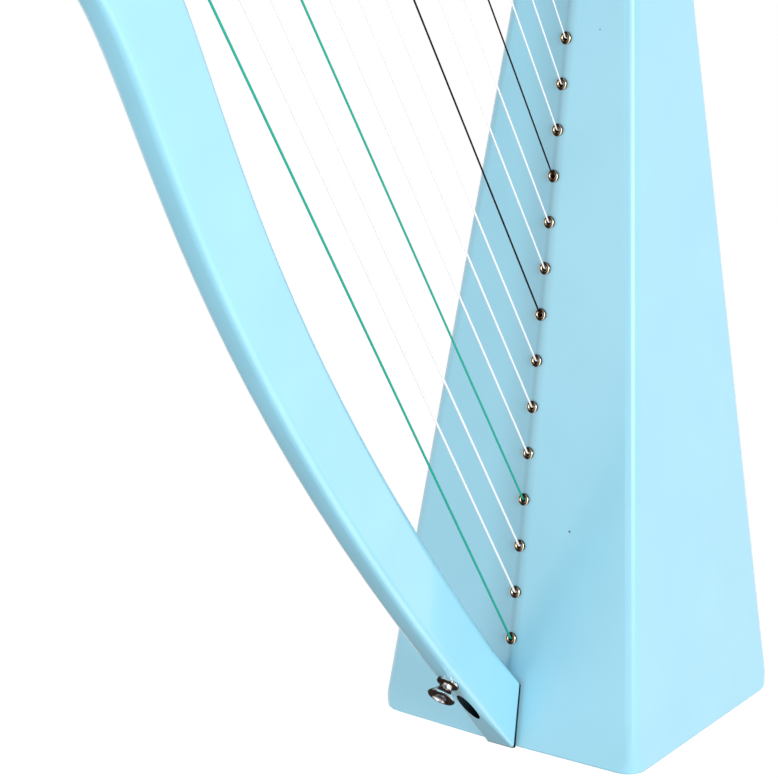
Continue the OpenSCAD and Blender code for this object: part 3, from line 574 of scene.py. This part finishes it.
def kindOf(i):
    return ("strings_green" if i in stringSet["green"] else
            "strings_red" if i in stringSet["red"] else "strings_clear")


groups = {"strings_clear": (nylon, "nylon_clear"), "strings_green": (greenNylon, "nylon_green"),
          "strings_red": (redNylon, "nylon_red")}
for node, (material, slotName) in groups.items():
    piece = addMesh(node + "_fine", [stringPart(i) for i in idx if kindOf(i) == node], material, "harp")
    # strings this thin leave no shadow or mirror image that shows on the board
    piece.visible_shadow = False
    piece.visible_glossy = False
    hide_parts(node)
print("strings made")

# windings: turns round the tuning pin that ride with it, the last of them spaced out, and an end that
# dips into the pin's cross hole
windLook = {"stepsPerTurn": 40, "climb": 1.0, "climbTurns": 0.5, "kneeTurn": 25, "endR": 0.7,
            "diveSteps": 9}


def windingPart(i):
    p, r, look = pinSet, stringR[i], windLook
    step = 2 * r + p["windGap"]
    turnR = p["d"] / 2 + p["wrapGap"] + r
    t = np.linspace(0, p["turns"], int(p["turns"] * look["stepsPerTurn"]) + 1)
    rise = np.maximum(0, (t - p["turns"] + look["climbTurns"]) / look["climbTurns"])
    y = stringY + step * (1 + t) + look["climb"] * rise * rise * (3 - 2 * rise)
    a = np.radians(tailLean[i] + 360 * t)
    path = np.stack([turnR * np.cos(a), turnR * np.sin(a), y], -1)
    end = rad(tailLean[i] + 360 * p["turns"] + look["kneeTurn"])
    knee, inner = (np.array([d * math.cos(end), d * math.sin(end), y[-1]])
                   for d in (turnR, look["endR"]))
    q = np.linspace(0, 1, look["diveSteps"])[1:, None]
    dive = (1 - q) ** 2 * path[-1] + 2 * q * (1 - q) * knee + q * q * inner
    path = np.vstack([path, dive])
    verts, _ = atNeck((path, None), pinAt[i])
    return tube(verts, r, 12)


for i in idx:
    material, slotName = groups[kindOf(i)]
    number = f"{i + 1:02d}"
    turns = addMesh("winding_turns_" + number, [windingPart(i)], material, "pin_" + number)
    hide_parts("winding_" + number)
    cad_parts["tuning_pin_" + number].data.materials[0] = pinSteel
print("windings made")

for node in ("strap_button_front", "strap_button_rear"):
    dress(node, chrome)
print("strap buttons dressed")

# floor: the white sweep is for the eye alone, and the studio below the horizon lights the harp in
# its place
floorLook = {"half": 6, "z": -0.0004, "tone": 0.3, "white": 0.93}
corners = [(x * floorLook["half"], y * floorLook["half"], floorLook["z"])
           for x, y in ((-1, -1), (1, -1), (1, 1), (-1, 1))]
floorData = bpy.data.meshes.new("floor")
floorData.from_pydata(corners, [], [(0, 1, 2, 3)])
floor = bpy.data.objects.new("floor", floorData)
bpy.context.collection.objects.link(floor)
floorPaint, _, paint = newMaterial("pale floor")
paint.inputs["Base Color"].default_value = (*[floorLook["tone"]] * 3, 1)
paint.inputs["Roughness"].default_value = 0.9
paint.inputs["Specular IOR Level"].default_value = 0.0
paint.inputs["Emission Color"].default_value = (1, 1, 1, 1)
paint.inputs["Emission Strength"].default_value = floorLook["white"]
floorData.materials.append(floorPaint)
floor.visible_diffuse = False
floor.visible_glossy = False

# studio: walls bright at the horizon and dim overhead, paper bright further off and dim right below,
# with a brighter patch in front that the key light falls on
world = bpy.data.worlds.new("studio")
world.use_nodes = True
w = world.node_tree
towards = put(w, "ShaderNodeTexCoord", (-700, 0)).outputs["Generated"]
height = put(w, "ShaderNodeSeparateXYZ", (-520, 0), {0: towards}).outputs["Z"]
above = rangeNode(w, (-340, 0), height, 0.05, 0.75, 0.62, 0.12)
below = rangeNode(w, (-340, -300), height, -0.7, -0.43, 0.2, 1.12)
isBelow = mathNode(w, (-340, -600), "LESS_THAN", height, 0.0)
room = put(w, "ShaderNodeMix", (-120, 0), {0: isBelow, 2: above, 3: below}, data_type="FLOAT")
patch = vectorNode(w, (-520, -800), "DOT_PRODUCT", towards, (-0.06, -0.52, -0.852))
lit = rangeNode(w, (-340, -800), patch, 0.88, 0.97, 0.0, 1.5)
background = w.nodes["Background"]
w.links.new(mathNode(w, (60, 0), "ADD", room.outputs[0], lit), background.inputs["Strength"])
background.inputs["Color"].default_value = (1, 1, 1, 1)
scene = bpy.context.scene
scene.world = world


def turnTo(at, aim):
    return (Vector(aim) - Vector(at)).to_track_quat("-Z", "Y").to_euler()


def softLight(name, at, aim, wide, tall, power, shadow=True):
    lamp = bpy.data.lights.new(name, "AREA")
    lamp.shape = "RECTANGLE"
    lamp.size = wide
    lamp.size_y = tall
    lamp.energy = power
    lamp.use_shadow = shadow
    o = bpy.data.objects.new(name, lamp)
    bpy.context.collection.objects.link(o)
    o.location = at
    o.rotation_euler = turnTo(at, aim)


softLight("key", (-0.75, -1.9, 0.7), (-0.1, 0, 0.2), 1.1, 1.1, 19.6)
# two fills that leave no shadow of the pillar on the board
softLight("front fill", (-1.2, -1.3, 0.3), (-0.1, 0, 0.1), 0.7, 0.7, 3.4, False)
softLight("left panel", (-1.75, 0.42, 0.42), (-0.1, 0, 0.15), 0.9, 0.8, 3.3, False)

eyePoint = (-0.98965, -0.5899, 0.5021)
lookAt = (-0.05095, 0.0656, 0.1428)
cam = bpy.data.cameras.new("camera")
cam.lens = 131.0
cam.sensor_width = 36
cam.clip_start = 0.05
camera = bpy.data.objects.new("camera", cam)
bpy.context.collection.objects.link(camera)
camera.location = eyePoint
camera.rotation_euler = turnTo(eyePoint, lookAt)
scene.camera = camera

scene.view_settings.view_transform = "Standard"
scene.view_settings.look = "None"
print("studio made")
